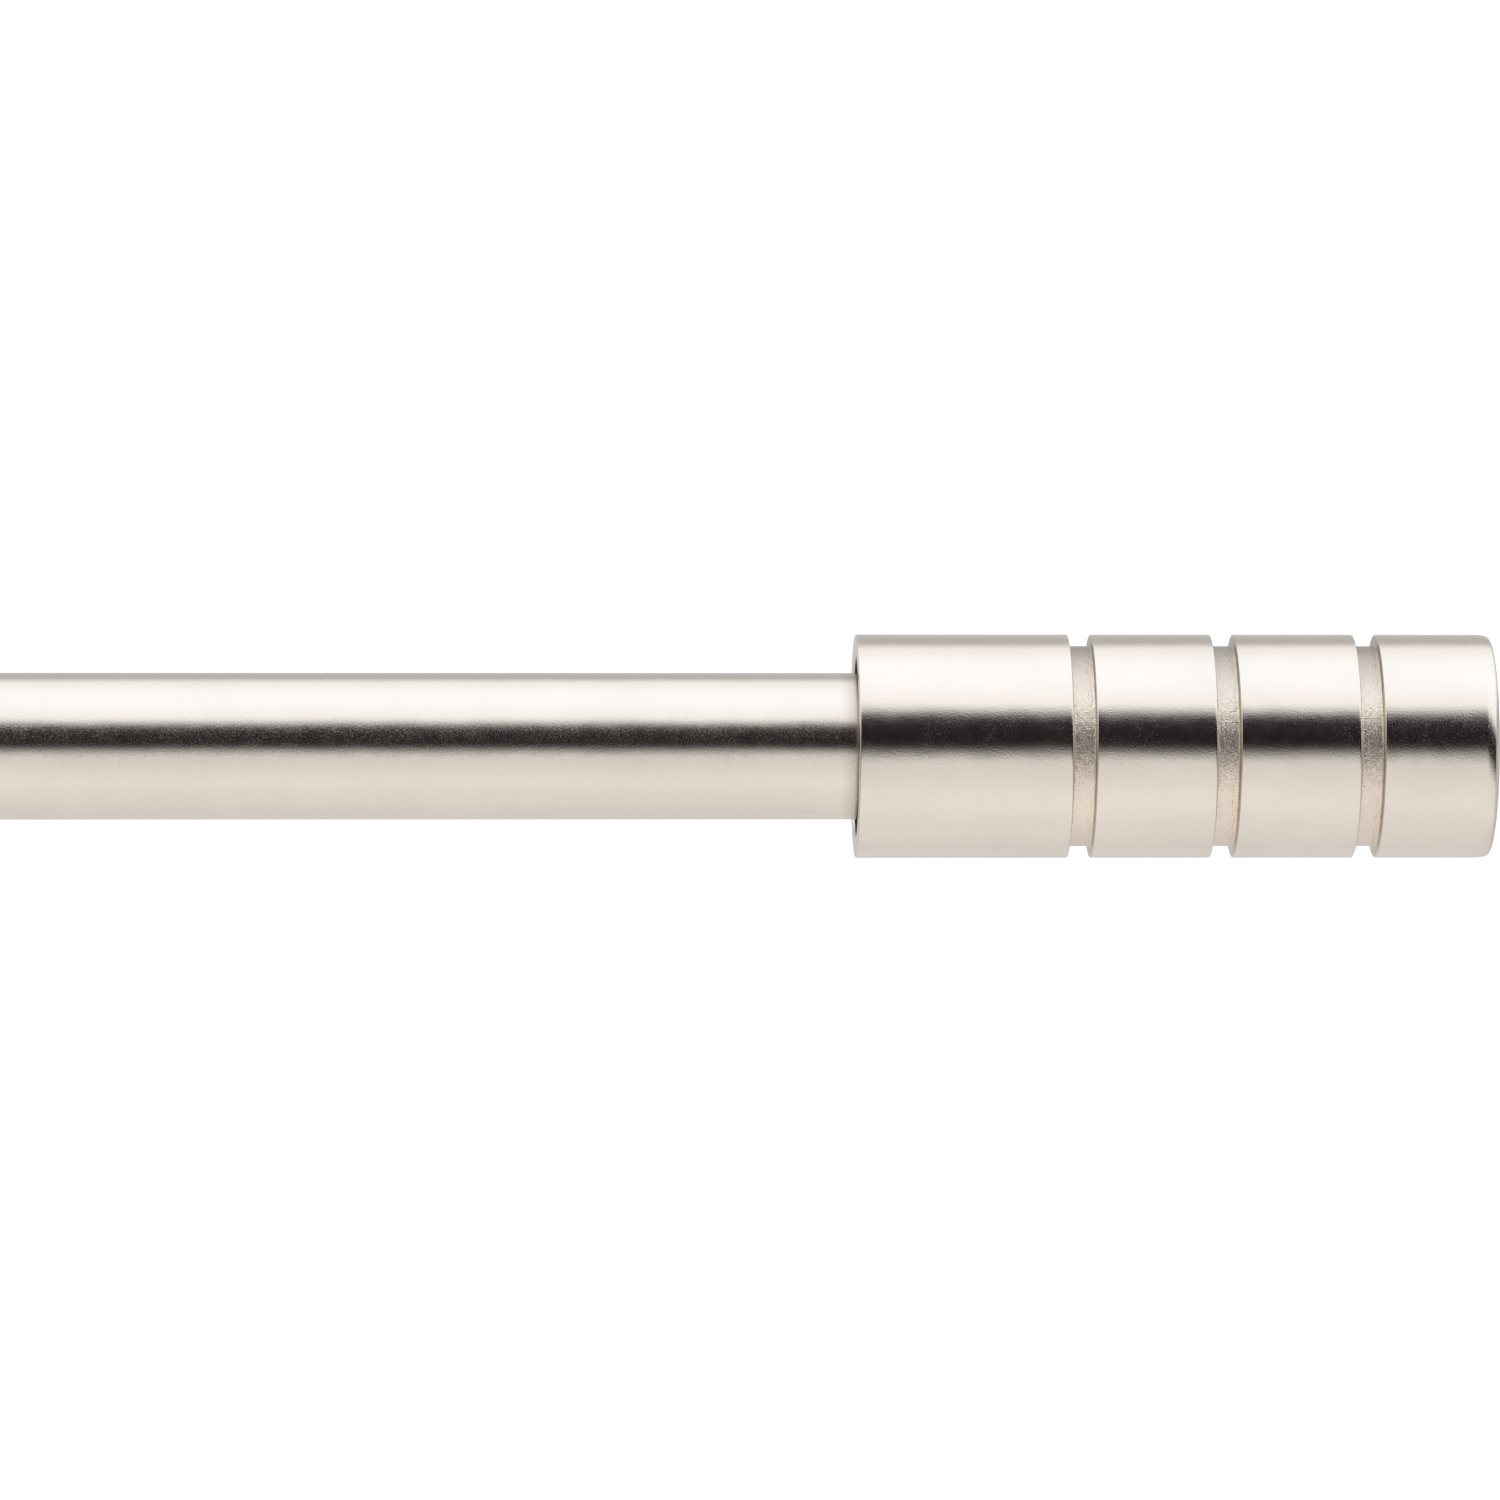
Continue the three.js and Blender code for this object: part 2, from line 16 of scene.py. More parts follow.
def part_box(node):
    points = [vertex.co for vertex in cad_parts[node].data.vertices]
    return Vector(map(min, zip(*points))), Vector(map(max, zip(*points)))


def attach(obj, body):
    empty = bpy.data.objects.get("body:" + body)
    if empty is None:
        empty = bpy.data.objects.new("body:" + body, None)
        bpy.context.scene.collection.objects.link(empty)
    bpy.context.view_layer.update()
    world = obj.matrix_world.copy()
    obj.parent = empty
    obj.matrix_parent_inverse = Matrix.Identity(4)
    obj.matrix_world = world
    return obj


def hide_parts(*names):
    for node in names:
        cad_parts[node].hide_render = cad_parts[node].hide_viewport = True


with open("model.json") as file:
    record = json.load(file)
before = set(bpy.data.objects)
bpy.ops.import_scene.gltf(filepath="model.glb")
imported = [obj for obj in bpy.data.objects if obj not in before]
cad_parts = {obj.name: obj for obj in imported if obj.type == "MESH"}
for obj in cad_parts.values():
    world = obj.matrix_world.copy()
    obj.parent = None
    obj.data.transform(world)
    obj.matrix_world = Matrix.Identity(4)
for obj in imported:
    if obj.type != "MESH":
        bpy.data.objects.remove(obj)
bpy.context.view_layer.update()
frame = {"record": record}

MM = 0.001
SIDES = ("left", "right")
BODY_OF = {node: body for body, nodes in frame["record"]["behaviour"]["bodies"].items() for node in nodes}
SLOT_OF = {part["node"]: part["material_slot"] for part in frame["record"]["subparts"]}

# ---- places and sizes from the frame, in mm ----------------------------------------------------


def corners_of(node):
    """The lowest and highest corners of a CAD node, in mm."""
    low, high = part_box(node)
    return low / MM, high / MM


def centre_of(node):
    """The middle of a CAD node's box, in mm."""
    low, high = corners_of(node)
    return (low + high) / 2


def radius_of(node):
    """Half a round CAD node's height."""
    low, high = corners_of(node)
    return (high.z - low.z) / 2


ROD_AXIS = centre_of("inner_tube")
PROJECTION = -ROD_AXIS.y
OUTER_RADIUS = radius_of("outer_tube")
INNER_RADIUS = radius_of("inner_tube")
TUBE_RADIUS = {"left": OUTER_RADIUS, "right": INNER_RADIUS}
BRACKET_X = {side: centre_of(f"{side}_post").x for side in SIDES}

# ---- sizes that the CAD nodes' boxes don't give, in mm -----------------------------------------

TUBE_WALL = 0.7
PART_LINE = 0.28  # how far a post reaches into the CAD's gaps at its two ends
HOLE_RADIUS = 2.3  # a clearance hole for a 4 mm screw
SINK_RADIUS = 4.3
HOLE_RISE = 11  # the wall plate's two holes lie this far above and below its centre
SCREW_RADIUS = 2.0
TIP_RADIUS = 1.1
HEAD_RADIUS = 4.0
HEAD_HEIGHT = 2.0
THREAD_PITCH = 0.7
THREAD_DEPTH = 0.38
THREAD_STEP = THREAD_PITCH / 6  # between two rings of points in a metric thread
CORE_MARGIN = 0.05  # a surface that lies deeper than this below the thread's crest stays plain
WOOD_PITCH = 1.8
WOOD_THREAD_DEPTH = 0.7
BLADE_TOP, BLADE_FOOT = 0.45, 0.3  # half the width of a cross recess's blades, at its top and its floor
RECESS_TAPER = 0.45  # the floor's reach as a part of the top's
OVERSHOOT = 0.5  # how far a cutter stands out of what it cuts

GROOVE_CENTRES = (24.4, 40.0, 55.6)  # from the finial's mouth
GROOVE_WIDTH = 2.5
GROOVE_DEPTH = 1.26
FINIAL_BORE = 10.0
NYLON_BORE = 5.5  # in the tube guide and the finial inserts

CUP_INNER = 10.0
CUP_OUTER = 12.5
CUP_BACK_HEIGHT = 12.0
CUP_FRONT_HEIGHT = 6.0
CUP_HEEL_ROUND = 6.25
CUP_EDGE = 0.5

TURN_STEPS = 128  # segments round a large turned piece
SMALL_TURN_STEPS = 64
ARC_STEP = 0.35  # longest straight stretch in a rounded corner
EDGE_GUARD = 0.2  # how near an edge the extra points of a long stretch lie
SHARP_ANGLE = math.radians(35)
TOUCHING = 1e-5  # points nearer than this are one point

# ---- outlines ----------------------------------------------------------------------------------


def corner_arc(before, corner, after, radius):
    """The points of an arc that rounds one corner of an outline."""
    to_before = (before - corner).normalized()
    to_after = (after - corner).normalized()
    half_angle = to_before.angle(to_after) / 2
    tangent = radius / math.tan(half_angle)
    middle = corner + (to_before + to_after).normalized() * (radius / math.sin(half_angle))
    start = corner + to_before * tangent - middle
    end = corner + to_after * tangent - middle
    turn = start.angle_signed(end)
    steps = max(4, math.ceil(radius * abs(turn) / ARC_STEP))
    return [middle + Matrix.Rotation(-turn * i / steps, 2) @ start for i in range(steps + 1)]


def rounded(corners, closed=False):
    """An outline from (x, y) corners, each rounded where it has a radius as (x, y, radius)."""
    points = [Vector(corner[:2]) for corner in corners]
    outline = []
    for i, corner in enumerate(corners):
        is_end = not closed and i in (0, len(corners) - 1)
        if len(corner) == 2 or is_end:
            outline.append(points[i])
        else:
            outline += corner_arc(points[i - 1], points[i], points[(i + 1) % len(points)], corner[2])
    return [point for i, point in enumerate(outline) if i == 0 or (point - outline[i - 1]).length > TOUCHING]


def refined(outline, step):
    """The same outline with its long stretches cut into pieces no longer than step.

    Each stretch also gets a point close to both its ends, so that a rounded edge's shading ends there.
    """
    result = [outline[0]]
    for end in outline[1:]:
        start = result[-1]
        length = (end - start).length
        cuts = [1.0]
        if length > 4 * EDGE_GUARD:
            near = EDGE_GUARD / length
            count = math.ceil((length - 2 * EDGE_GUARD) / step)
            cuts = [near + (1 - 2 * near) * i / count for i in range(count + 1)] + [1.0]
        result += [start.lerp(end, cut) for cut in cuts]
    return result


def inset(outline, distance):
    """A closed outline moved inwards, each corner along the line that halves it."""
    area = sum(a.x * b.y - b.x * a.y for a, b in zip(outline, outline[1:] + outline[:1]))
    inward = math.copysign(1, area)
    moved = []
    for i, point in enumerate(outline):
        ahead = (outline[(i + 1) % len(outline)] - point).normalized()
        behind = (point - outline[i - 1]).normalized()
        normal_ahead = Vector((-ahead.y, ahead.x)) * inward
        normal_behind = Vector((-behind.y, behind.x)) * inward
        middle = (normal_ahead + normal_behind).normalized()
        moved.append(point + middle * (distance / max(0.5, middle.dot(normal_ahead))))
    return moved


# ---- meshes ------------------------------------------------------------------------------------


def make_object(name, vertices, faces):
    """A smooth-shaded object from vertices in mm and faces."""
    mesh = bpy.data.meshes.new(name)
    mesh.from_pydata([Vector(v) * MM for v in vertices], [], faces)
    made = bpy.data.objects.new(name, mesh)
    bpy.context.scene.collection.objects.link(made)
    face_out(mesh)
    return made


def face_out(mesh):
    """Turns every face outwards and shades it smooth, apart from edges over the sharp angle."""
    cleaned = bmesh.new()
    cleaned.from_mesh(mesh)
    bmesh.ops.recalc_face_normals(cleaned, faces=cleaned.faces)
    cleaned.to_mesh(mesh)
    cleaned.free()
    mesh.shade_smooth()
    mesh.set_sharp_from_angle(angle=SHARP_ANGLE)


def axis_at(origin, direction):
    """The matrix that lays a turned piece's own +X on a direction, from a point in mm."""
    turn = Vector((1, 0, 0)).rotation_difference(Vector(direction)).to_matrix().to_4x4()
    return Matrix.Translation(origin) @ turn


def turned(name, outline, matrix, steps=TURN_STEPS, ripple=None):
    """A piece turned from (along, radius) points, closed on itself or from axis to axis.

    ripple(along, radius, angle) gives the radius of a piece that isn't quite round.
    """
    vertices = []
    rings = []
    for along, radius in outline:
        count = 1 if radius < TOUCHING else steps
        ring = []
        for i in range(count):
            angle = 2 * math.pi * i / steps
            reach = ripple(along, radius, angle) if ripple and count > 1 else radius
            ring.append(len(vertices))
            vertices.append(matrix @ Vector((along, reach * math.cos(angle), reach * math.sin(angle))))
        rings.append(ring)
    on_axis = len(rings[0]) == 1 and len(rings[-1]) == 1
    pairs = list(zip(rings, rings[1:])) + ([] if on_axis else [(rings[-1], rings[0])])
    faces = []
    for low, high in pairs:
        for i in range(steps):
            j = (i + 1) % steps
            quad = (low[i % len(low)], low[j % len(low)], high[j % len(high)], high[i % len(high)])
            faces.append(tuple(dict.fromkeys(quad)))
    return make_object(name, vertices, [face for face in faces if len(face) > 2])


def extruded(name, outline, width, place, edge):
    """A closed (out, up) outline drawn out along the rod, with its two rims rounded to an edge radius."""
    rows = []
    rim_steps = 4
    for i in range(rim_steps + 1):
        angle = math.pi / 2 * i / rim_steps
        rows.append((width / 2 - edge + edge * math.sin(angle), edge * (1 - math.cos(angle))))
    rows = [(-x, depth) for x, depth in reversed(rows)] + rows
    vertices = []
    for x, depth in rows:
        vertices += [place + Vector((x, -point.x, point.y)) for point in inset(outline, depth)]
    return make_object(name, vertices, tube_faces(len(rows), len(outline)))


def tube_faces(row_count, row_length):
    """Quads between rows of a closed section, and a cap at each end."""
    faces = [tuple(range(row_length)), tuple(range((row_count - 1) * row_length, row_count * row_length))]
    for row in range(row_count - 1):
        for i in range(row_length):
            j = (i + 1) % row_length
            low, high = row * row_length, (row + 1) * row_length
            faces.append((low + i, low + j, high + j, high + i))
    return faces


def combined(target, tool, operation):
    """Cuts tool from target, or joins it on, and removes tool."""
    modifier = target.modifiers.new(operation, "BOOLEAN")
    modifier.operation = operation
    modifier.solver = "EXACT"
    modifier.object = tool
    bpy.context.view_layer.update()
    result = bpy.data.meshes.new_from_object(target.evaluated_get(bpy.context.evaluated_depsgraph_get()))
    target.modifiers.clear()
    target.data = result
    bpy.data.objects.remove(tool)
    face_out(result)
    return target


def drilled(piece, outline, matrix, steps=SMALL_TURN_STEPS):
    """Cuts a hole from a piece, turned from (along, radius) points that start and end on its axis."""
    return combined(piece, turned("hole", outline, matrix, steps), "DIFFERENCE")


# ---- materials ---------------------------------------------------------------------------------

NICKEL = (0.745, 0.676, 0.608)
BLASTED = (0.78, 0.68, 0.585)
# painted shade: the dark colour laid inside the finial's bore
BORE_SHADE = (0.2, 0.165, 0.13)
ZINC = (0.56, 0.58, 0.61)
WHITE = (0.8, 0.79, 0.74)
GREY = (0.2, 0.205, 0.21)
# painted shade: the colour of the ring round each tube at its finial's mouth
MOUTH_SHADE = (0.42, 0.34, 0.27, 1)
# painted shade: the dark colour laid on the upper part of the finial's grooves
GROOVE_SHADE = (0.06, 0.045, 0.035, 1)

# Sizes are in mm. A layer of relief is (feature, height, stretch).
WAVES = (8, 0.08, 1)  # the plating isn't quite flat
LATHE_MARKS = ((0.25, 0.08, 4), (0.15, 0.055, 1))
CLOUD_SIZE = 9  # of the patches of colour
GLOSS_SIZE = 1.3  # of the patches of gloss
PIT_SIZE = 0.12
PIT_START, PIT_END = 0.7, 0.8  # the fine noise at which pits start and are full, less their commonness
PATCH_SIZE = 5.0
PATCH_START, PATCH_END = 0.42, 0.62  # the coarse noise at which a patch of pits starts and is full
MOUTH_SHADE_REACH = 2.0  # how far to each side the ring of painted shade fades out
# how dark the ring of painted shade is at its middle
MOUTH_SHADE_STRENGTH = 0.45
GROOVE_SHADE_START, GROOVE_SHADE_END = 4.0, 8.8  # how high above the rod's axis the painted shade starts, and where it is darkest
GROOVE_SHADE_STRENGTH = 0.36

NOISE_LOW, NOISE_HIGH = 0.3, 0.7  # most of a noise's values lie between these
NO_PITS = (0, 0)
TRANSLUCENT = {"Subsurface Weight": 0.12, "Subsurface Scale": 0.002}


def add_node(tree, kind, inputs=(), **settings):
    """Adds a shader node. An input is a value, or the output of another node that feeds it."""
    made = tree.nodes.new(kind)
    for key, value in settings.items():
        setattr(made, key, value)
    for key, value in dict(inputs).items():
        if isinstance(value, bpy.types.NodeSocket):
            tree.links.new(value, made.inputs[key])
        else:
            made.inputs[key].default_value = value
    return made


def place_on_piece(tree):
    """The place on the piece at rest, in metres."""
    found = tree.nodes.get("Texture Coordinate") or tree.nodes.new("ShaderNodeTexCoord")
    return found.outputs["Object"]


def noise(tree, feature, detail=2.0, stretch=1.0):
    """Noise whose features are about that many mm across, fixed to the piece.

    stretch draws them out round the rod, like the marks of a lathe's tool.
    """
    inputs = {0: place_on_piece(tree), 1: (1, 1 / stretch, 1 / stretch)}
    place = add_node(tree, "ShaderNodeVectorMath", inputs, operation="MULTIPLY").outputs["Vector"]
    inputs = {"Vector": place, "Scale": 1 / (feature * MM), "Detail": detail}
    return add_node(tree, "ShaderNodeTexNoise", inputs).outputs["Fac"]


def calculate(tree, operation, first, second=0.0):
    """One step of arithmetic. An operation on one number takes no second one."""
    return add_node(tree, "ShaderNodeMath", {0: first, 1: second}, operation=operation).outputs[0]


def mixed(tree, factor, first, second):
    """A colour between two others."""
    return add_node(tree, "ShaderNodeMix", {0: factor, 6: first, 7: second}, data_type="RGBA").outputs[2]


def between(tree, factor, low, high, start=NOISE_LOW, end=NOISE_HIGH, kind="LINEAR"):
    """A number that follows another one, from low at start to high at end."""
    inputs = {"Value": factor, "From Min": start, "From Max": end, "To Min": low, "To Max": high}
    return add_node(tree, "ShaderNodeMapRange", inputs, interpolation_type=kind).outputs["Result"]


def shades(tree, factor, dark, light):
    """A colour that follows a noise between two shades."""
    ramp = add_node(tree, "ShaderNodeValToRGB", {"Fac": factor})
    for element, place, shade in zip(ramp.color_ramp.elements, (NOISE_LOW, NOISE_HIGH), (dark, light)):
        element.position = place
        element.color = (*shade, 1)
    return ramp.outputs["Color"]


def scaled(color, factor):
    """A colour made lighter or darker."""
    return tuple(channel * factor for channel in color)


def relief(tree, layers):
    """The piece's normals, from layers of noise as (feature, height, stretch), in mm."""
    total = 0.0
    for feature, height, stretch in layers:
        layer = calculate(tree, "MULTIPLY", noise(tree, feature, stretch=stretch), height)
        total = calculate(tree, "ADD", layer, total)
    bump = add_node(tree, "ShaderNodeBump", {"Height": total, "Distance": MM})
    return bump.outputs["Normal"]


def pits(tree, commonness, depth):
    """How much tiny dull pits add to the roughness. They gather in patches where they are rare."""
    outside = 4 * commonness * depth
    fine = between(tree, noise(tree, PIT_SIZE, 1.0), 0, 1, PIT_START - commonness, PIT_END - commonness)
    patches = between(tree, noise(tree, PATCH_SIZE), outside, depth, PATCH_START, PATCH_END)
    return calculate(tree, "MULTIPLY", fine, patches)


def mouth_shade(tree, color, ring_x):
    """The colour, darkened in a soft ring round the tube where a finial's mouth meets it: painted shade."""
    along = add_node(tree, "ShaderNodeSeparateXYZ", {"Vector": place_on_piece(tree)}).outputs["X"]
    away = calculate(tree, "ABSOLUTE", calculate(tree, "SUBTRACT", along, ring_x * MM))
    brown = between(tree, away, MOUTH_SHADE_STRENGTH, 0, 0, MOUTH_SHADE_REACH * MM, "SMOOTHSTEP")
    return mixed(tree, brown, color, MOUTH_SHADE)


def groove_shade(tree, color):
    """The colour, darkened in the upper part of the finial's grooves: painted shade."""
    up = add_node(tree, "ShaderNodeSeparateXYZ", {"Vector": place_on_piece(tree)}).outputs["Z"]
    shaded = between(tree, up, 0, GROOVE_SHADE_STRENGTH, GROOVE_SHADE_START * MM, GROOVE_SHADE_END * MM)
    return mixed(tree, shaded, color, GROOVE_SHADE)


def surface(name, color, roughness, metallic, layers, pitting, mottle, painted_shade=None, extra=()):
    """A material with relief, a cloudy colour and an uneven gloss.

    roughness is its lowest and highest value, layers are the relief's, pitting is how common and how dull
    its pits are, mottle is how far its colour strays, the function after mottle lays painted shade on the
    colour, and extra holds more of the shader's inputs.
    """
    material = bpy.data.materials.new(name)
    material.use_nodes = True
    tree = material.node_tree
    shader = tree.nodes["Principled BSDF"]
    tree.links.new(relief(tree, layers), shader.inputs["Normal"])
    tint = shades(tree, noise(tree, CLOUD_SIZE), scaled(color, 1 - mottle), scaled(color, 1 + mottle))
    # painted shade, laid over the colour
    if painted_shade:
        tint = painted_shade(tree, tint)
    tree.links.new(tint, shader.inputs["Base Color"])
    base = between(tree, noise(tree, GLOSS_SIZE), *roughness)
    tree.links.new(calculate(tree, "ADD", base, pits(tree, *pitting)), shader.inputs["Roughness"])
    shader.inputs["Metallic"].default_value = metallic
    for key, value in dict(extra).items():
        shader.inputs[key].default_value = value
    return material


MOUTH_X = {"left": corners_of("left_finial_cap")[1].x, "right": corners_of("right_finial_cap")[0].x}


def tube_nickel(side):
    """The finish of the tube that the finial on this side covers, with a ring of painted shade at the
    finial's mouth.
    """

    def ring(tree, color):
        return mouth_shade(tree, color, MOUTH_X[side])

    layers = (WAVES, (0.2, 0.006, 1))
    return surface(f"{side}_tube_nickel", NICKEL, (0.165, 0.195), 1, layers, (0.17, 0.12), 0.016, ring)


# the grooves' finish, with painted shade laid on their upper part
blasted_nickel = surface("blasted_nickel", BLASTED, (0.2, 0.28), 1, LATHE_MARKS, NO_PITS, 0.04, groove_shade)
# the bore's rough finish, its dark colour painted shade
painted_bore_shade = surface("painted_bore_shade", BORE_SHADE, (0.5, 0.6), 1, ((0.5, 0.04, 1),), NO_PITS, 0.1)

# For each slot: colour, roughness, metallic, layers, pitting and mottle, as surface takes them.
LOOKS = {
    "satin_nickel": (NICKEL, (0.14, 0.17), 1, (WAVES, (0.18, 0.009, 1)), (0.09, 0.17), 0.02),
    "cast_nickel": (NICKEL, (0.2, 0.26), 1, (WAVES, (0.24, 0.012, 1)), (0.14, 0.2), 0.03),
    "zinc_steel": (ZINC, (0.3, 0.42), 1, ((0.3, 0.014, 1), (3, 0.03, 1)), (0.15, 0.15), 0.08),
    "white_nylon": (WHITE, (0.38, 0.48), 0, ((0.35, 0.01, 1),), NO_PITS, 0.02, None, TRANSLUCENT),
    "grey_nylon": (GREY, (0.42, 0.52), 0, ((0.35, 0.012, 1),), NO_PITS, 0.05),
}
FINISHES = {slot: surface(slot, *look) for slot, look in LOOKS.items()}


def stands_for(piece, node, finish=None):
    """The piece stands in for a CAD node: it joins the node's body and takes the slot's finish or the one
    given, and the node is hidden.
    """
    slot = SLOT_OF[node]
    piece.data.materials.clear()
    piece.data.materials.append(finish or FINISHES[slot])
    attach(piece, BODY_OF[node])
    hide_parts(node)
    return piece


# ---- screws ------------------------------------------------------------------------------------


def zigzag(turns):
    """A wave from 0 at whole turns to 1 at half turns."""
    return 1 - abs(2 * (turns % 1) - 1)


def thread(start, end, pitch, depth, core):
    """A ripple that cuts a helical thread between two places, fading in and out over a turn.

    What is thinner than core stays plain.
    """
    steepness = 1.4  # more than 1 leaves a flat at the thread's root

    def ripple(along, radius, angle):
        if radius < core or not start < along < end:
            return radius
        fade = min(1, (along - start) / pitch, (end - along) / pitch)
        wave = zigzag(along / pitch - angle / (2 * math.pi))
        return radius - depth * fade * min(1, steepness * wave)

    return ripple


def metric_thread(start, end):
    """The ripple of a 4 mm metric thread between two places."""
    return thread(start, end, THREAD_PITCH, THREAD_DEPTH, SCREW_RADIUS - CORE_MARGIN)


def cross_recess(matrix, depth, reach):
    """A cutter for a cross-shaped driver recess, pointing along the matrix's X axis."""
    blades = []
    for quarter in (0, math.pi / 2):
        vertices = []
        ends = ((-OVERSHOOT, reach, BLADE_TOP), (depth, reach * RECESS_TAPER, BLADE_FOOT))
        for along, length, half in ends:
            for u, v in ((-length, -half), (length, -half), (length, half), (-length, half)):
                spun = Matrix.Rotation(quarter, 4, "X") @ Vector((along, u, v))
                vertices.append(matrix @ spun)
        blades.append(make_object("recess", vertices, tube_faces(2, 4)))
    return combined(blades[0], blades[1], "UNION")


def machine_screw(node, outline, matrix, start, end, recess_at, recess_reach):
    """A 4 mm screw with a metric thread between two places and a cross recess in its head."""
    recess_depth = 1.3
    fine = refined(outline, THREAD_STEP)
    screw = turned(f"{node}_detail", fine, matrix, SMALL_TURN_STEPS, metric_thread(start, end))
    recess = cross_recess(matrix @ Matrix.Translation((recess_at, 0, 0)), recess_depth, recess_reach)
    return stands_for(combined(screw, recess, "DIFFERENCE"), node)


def countersunk_screw(node, direction):
    """A machine screw whose head lies at the end of its node that the direction points away from."""
    low, high = corners_of(node)
    centre = centre_of(node)
    length = high.y - low.y
    head = high.y if direction < 0 else low.y
    matrix = axis_at((centre.x, head, centre.z), (0, direction, 0))
    corners = [
        (0, 0),
        (0, HEAD_RADIUS, 0.15),
        (HEAD_HEIGHT, SCREW_RADIUS, 0.2),
        (length - 0.8, SCREW_RADIUS, 0.2),
        (length, TIP_RADIUS),
        (length, 0),
    ]
    recess_reach = 2.2
    return machine_screw(node, rounded(corners), matrix, HEAD_HEIGHT + 0.4, length - 0.2, 0, recess_reach)


def wall_screw(node):
    """A countersunk wood screw that points into the wall."""
    low, high = corners_of(node)
    centre = centre_of(node)
    length = high.y - low.y
    neck = SCREW_RADIUS - WOOD_THREAD_DEPTH + 0.3
    neck_end = HEAD_HEIGHT + 3
    thinnest = 0.9  # nearer the tip the thread leaves off
    matrix = axis_at((centre.x, low.y, centre.z), (0, 1, 0))
    corners = [
        (0, 0),
        (0, HEAD_RADIUS, 0.15),
        (HEAD_HEIGHT, neck, 0.3),
        (neck_end, neck, 0.5),
        (neck_end + 1.5, SCREW_RADIUS, 0.5),
        (length - 7, SCREW_RADIUS, 2),
        (length, 0.25),
        (length, 0),
    ]
    outline = refined(rounded(corners), WOOD_PITCH / 10)
    ripple = thread(neck_end + 0.5, length - 1, WOOD_PITCH, WOOD_THREAD_DEPTH, thinnest)
    screw = turned(f"{node}_detail", outline, matrix, SMALL_TURN_STEPS, ripple)
    recess_depth, recess_reach = 1.6, 2.5
    recess = cross_recess(matrix, recess_depth, recess_reach)
    return stands_for(combined(screw, recess, "DIFFERENCE"), node)


def wall_plug(node):
    """A grey plug, slit in four from its nose and ringed with barbs."""
    low, high = corners_of(node)
    centre = centre_of(node)
    length = high.y - low.y
    radius = radius_of(node)
    matrix = axis_at((centre.x, low.y, centre.z), (0, 1, 0))
    corners = [
        (0, HOLE_RADIUS),
        (0, radius, 0.2),
        (length - 4, radius, 1),
        (length, radius - 0.8, 0.2),
        (length, HOLE_RADIUS),
        (0, HOLE_RADIUS),
    ]
    collar_end = 3
    slit_start, slit_width = 8, 0.7
    barb_pitch, barb_depth = 2.6, 0.45

    def ripple(along, reach, angle):
        if reach < HOLE_RADIUS + 0.1 or along < collar_end:
            return reach
        from_slit = abs((angle + math.pi / 4) % (math.pi / 2) - math.pi / 4) * radius
        if from_slit < slit_width / 2 and along > slit_start:
            return HOLE_RADIUS + 0.15
        return reach - barb_depth * ((along / barb_pitch) % 1)

    outline = refined(rounded(corners), barb_pitch / 10)
    return stands_for(turned(f"{node}_detail", outline, matrix, 96, ripple), node)


def grub_screw(node):
    """A hexagon-socket screw that points up through the rose's rim."""
    low, high = corners_of(node)
    centre = centre_of(node)
    length = high.z - low.z
    thread_end = length - 1.5
    point = 1.2
    socket_depth, socket_radius = 1.6, 1.15
    matrix = axis_at((centre.x, centre.y, low.z), (0, 0, 1))
    corners = [
        (0, 0),
        (0, SCREW_RADIUS, 0.2),
        (thread_end, SCREW_RADIUS, 0.2),
        (thread_end, point),
        (length, point, 0.2),
        (length, 0),
    ]
    outline = refined(rounded(corners), THREAD_STEP)
    ripple = metric_thread(0.2, thread_end)
    screw = turned(f"{node}_detail", outline, matrix, SMALL_TURN_STEPS, ripple)
    socket = [(-OVERSHOOT, 0), (-OVERSHOOT, socket_radius), (socket_depth, socket_radius), (socket_depth, 0)]
    return stands_for(drilled(screw, socket, matrix, 6), node)


# ---- the rod -----------------------------------------------------------------------------------


def rod_matrix(x, direction=1):
    """The matrix that lays a turned piece's own +X on the rod's axis, from x and to the left if -1."""
    return axis_at((x, ROD_AXIS.y, ROD_AXIS.z), (direction, 0, 0))


def outer_tube():
    """The thick tube, with its mouth rolled in to guide the thin one."""
    low, high = corners_of("outer_tube")
    length = high.x - low.x
    bore = OUTER_RADIUS - TUBE_WALL
    lip = INNER_RADIUS + 0.3
    corners = [
        (0, bore, 0.12),
        (0, OUTER_RADIUS, 0.2),
        (length - 0.9, OUTER_RADIUS, 1.2),
        (length, OUTER_RADIUS - 0.75, 0.25),
        (length, lip, 0.2),
        (length - 3, bore, 2),
    ]
    tube = turned("outer_tube_detail", refined(rounded(corners, True), 20), rod_matrix(low.x))
    return stands_for(tube, "outer_tube", tube_nickel("left"))


def inner_tube():
    """The thin tube, plain at both ends."""
    low, high = corners_of("inner_tube")
    length = high.x - low.x
    bore = INNER_RADIUS - TUBE_WALL
    corners = [(0, bore, 0.12), (0, INNER_RADIUS, 0.2), (length, INNER_RADIUS, 0.2), (length, bore, 0.12)]
    tube = turned("inner_tube_detail", refined(rounded(corners, True), 20), rod_matrix(low.x))
    return stands_for(tube, "inner_tube", tube_nickel("right"))


